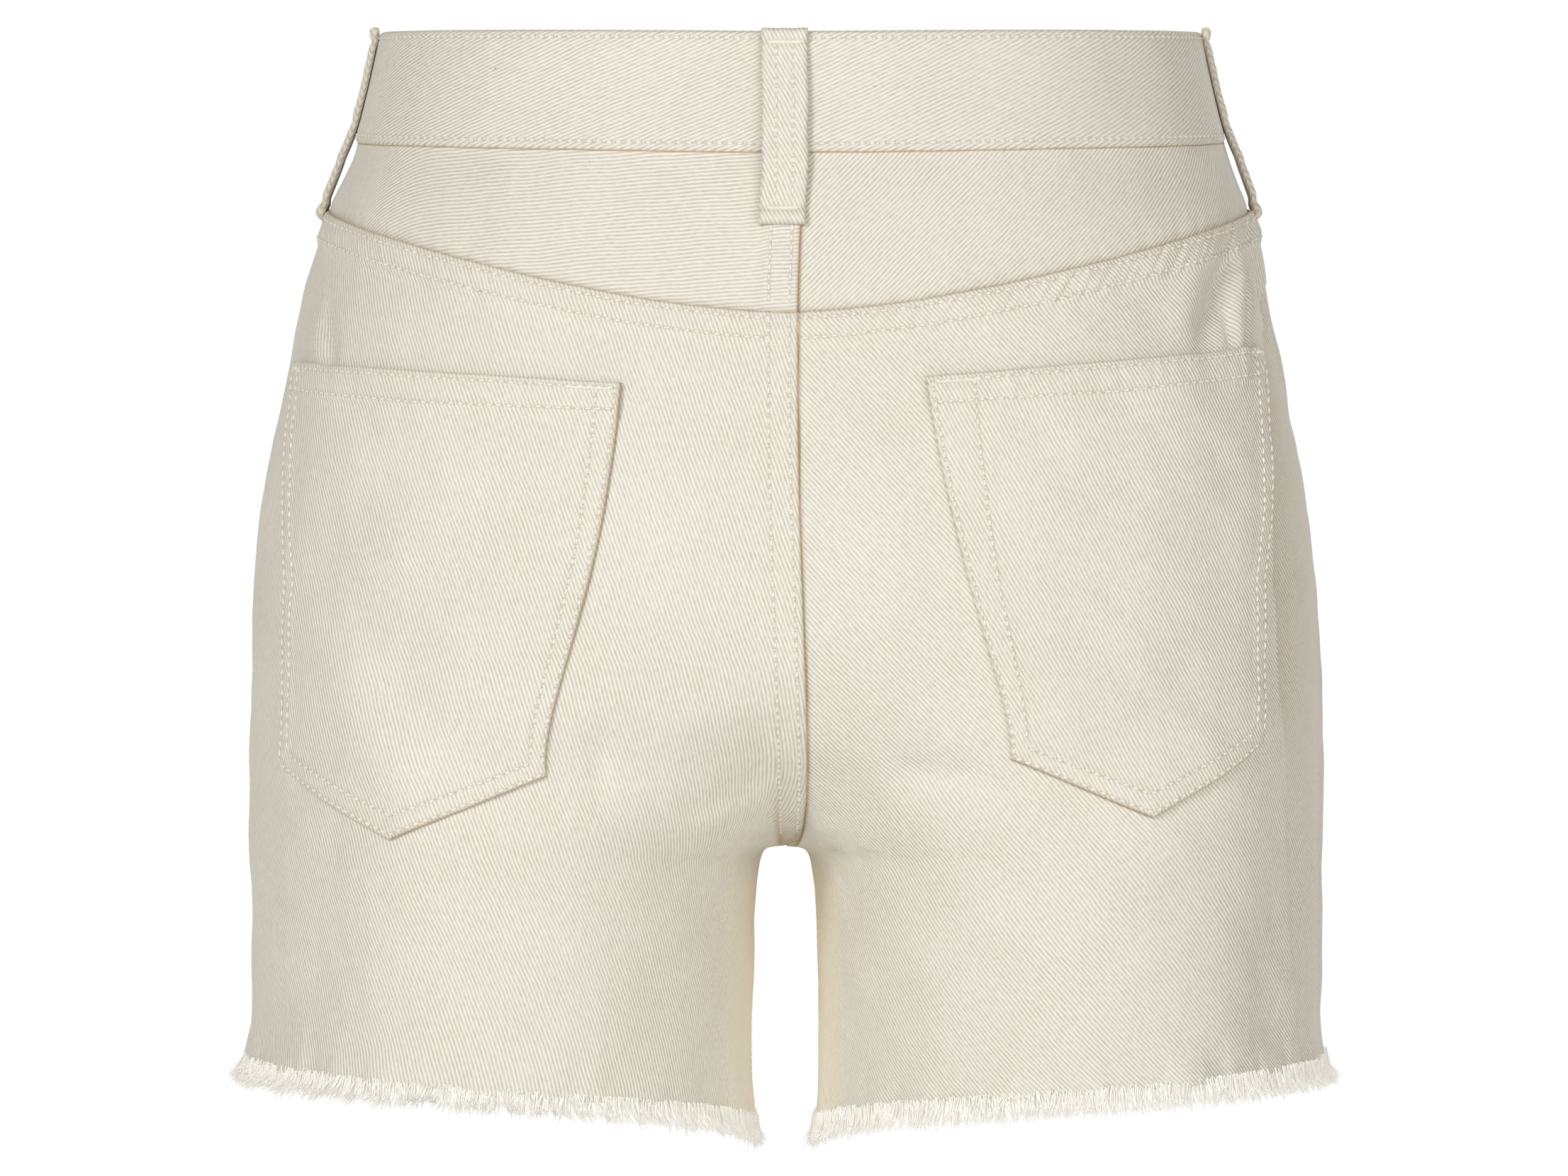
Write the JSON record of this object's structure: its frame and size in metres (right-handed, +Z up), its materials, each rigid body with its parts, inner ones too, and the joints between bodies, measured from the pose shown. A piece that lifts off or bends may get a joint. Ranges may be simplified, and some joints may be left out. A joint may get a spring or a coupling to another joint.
{
  "type": "denim shorts",
  "caption": "High-waisted cut-off denim shorts, filled out with no wearer, with a yoke, patch back pockets, belt loops and frayed leg hems.",
  "frame": {"origin": "middle of the waistband, on the garment's centre line, where the wearer's waist holds it", "axes": "+X to the wearer's left, -Y to the front of the garment, +Z up"},
  "size_m": [0.351, 0.2289, 0.3638],
  "materials": {
    "denim_band": "undyed cotton twill, matt, top-stitched",
    "denim_yoke": "undyed cotton twill, matt",
    "denim_panel": "undyed cotton twill, matt",
    "denim_pocket": "undyed cotton twill, matt, double-stitched edge",
    "denim_loop": "undyed cotton twill, matt, two rows of stitching",
    "fray": "loose undyed cotton threads",
    "button_metal": "plain brushed metal jeans button"
  },
  "bodies": {
    "root": {"waistband": "denim_band", "waist_button": "button_metal", "yoke_left": "denim_yoke", "yoke_right": "denim_yoke", "back_left": "denim_panel", "back_right": "denim_panel", "front_left": "denim_panel", "front_right": "denim_panel", "back_pocket_left": "denim_pocket", "back_pocket_right": "denim_pocket", "front_pocket_left": "denim_pocket", "front_pocket_right": "denim_pocket", "fly_underlap": "denim_panel", "belt_loop_back": "denim_loop", "belt_loop_side_left": "denim_loop", "belt_loop_side_right": "denim_loop", "belt_loop_front_left": "denim_loop", "belt_loop_front_right": "denim_loop", "hem_fray_left": "fray", "hem_fray_right": "fray"}
  },
  "joints": []
}
